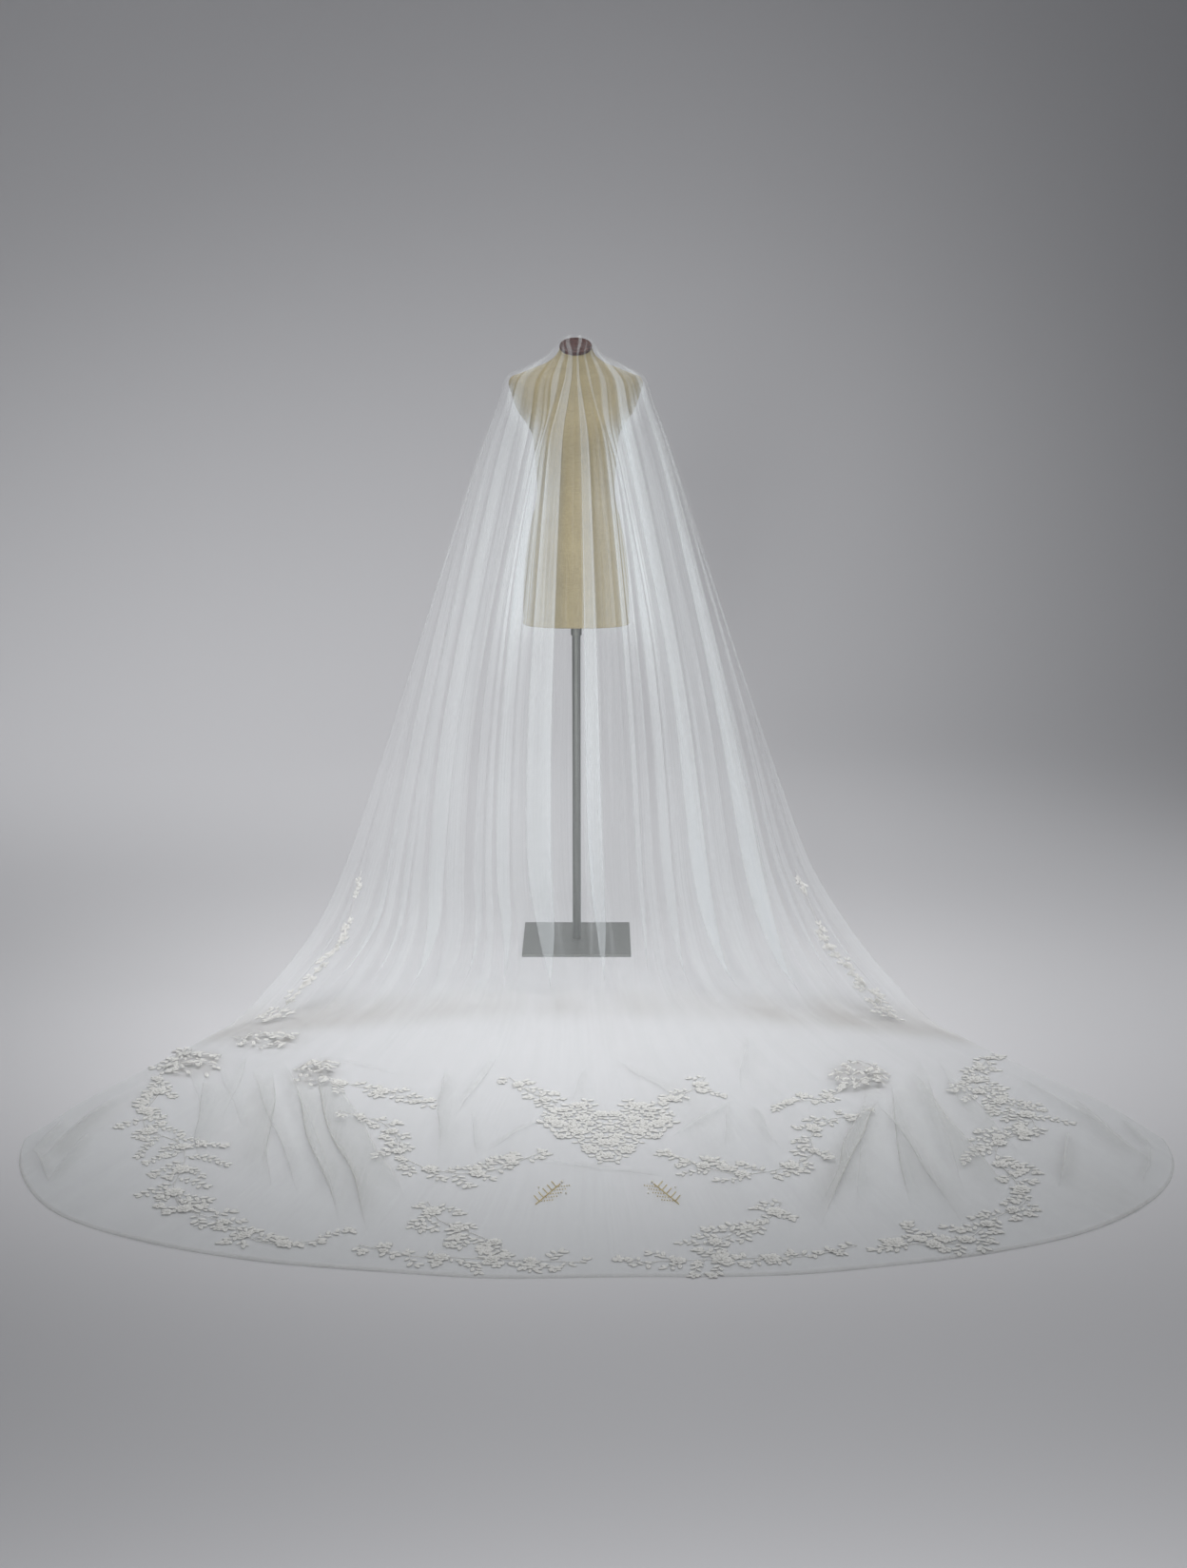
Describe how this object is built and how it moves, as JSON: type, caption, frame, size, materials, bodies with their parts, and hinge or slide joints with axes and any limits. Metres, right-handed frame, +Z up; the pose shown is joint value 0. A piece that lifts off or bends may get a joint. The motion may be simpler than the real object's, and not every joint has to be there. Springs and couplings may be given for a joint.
{
  "type": "bridal veil on dress form stand",
  "caption": "Long sheer bridal veil with lace garlands and a round train, gathered at the neck of a limbless dress form on a pole with a square plate.",
  "frame": {"origin": "on the floor, under the middle of the stand's square plate", "axes": "+Z up, -Y towards the train and the front of the form, +X to the right when seen from the train"},
  "size_m": [2.65, 2.365, 1.7816],
  "materials": {
    "tulle": "sheer silk tulle, soft blue-white, see-through",
    "lace": "off-white corded lace applique, matt with a slight silky sheen",
    "ribbon": "off-white satin ribbon binding",
    "comb": "clear moulded plastic",
    "linen": "cream linen stretched over the form",
    "cap_wood": "dark red-brown varnished hardwood",
    "stand_steel": "brushed steel, matt grey"
  },
  "bodies": {
    "root": {"tulle": "tulle", "heading_band": "ribbon", "comb": "comb", "form_torso": "linen", "neck_cap": "cap_wood", "collar": "stand_steel", "pole": "stand_steel", "base_plate": "stand_steel", "lace_arm_left": "lace", "lace_arm_right": "lace", "lace_centre_spray": "lace", "lace_edge_left": "lace", "lace_edge_right": "lace", "lace_hem_left": "lace", "lace_hem_right": "lace", "lace_inner_left": "lace", "lace_inner_right": "lace", "lace_outer_left": "lace", "lace_outer_right": "lace", "lace_rise_left": "lace", "lace_rise_right": "lace", "lace_spray_left": "lace", "lace_spray_right": "lace"}
  },
  "joints": []
}
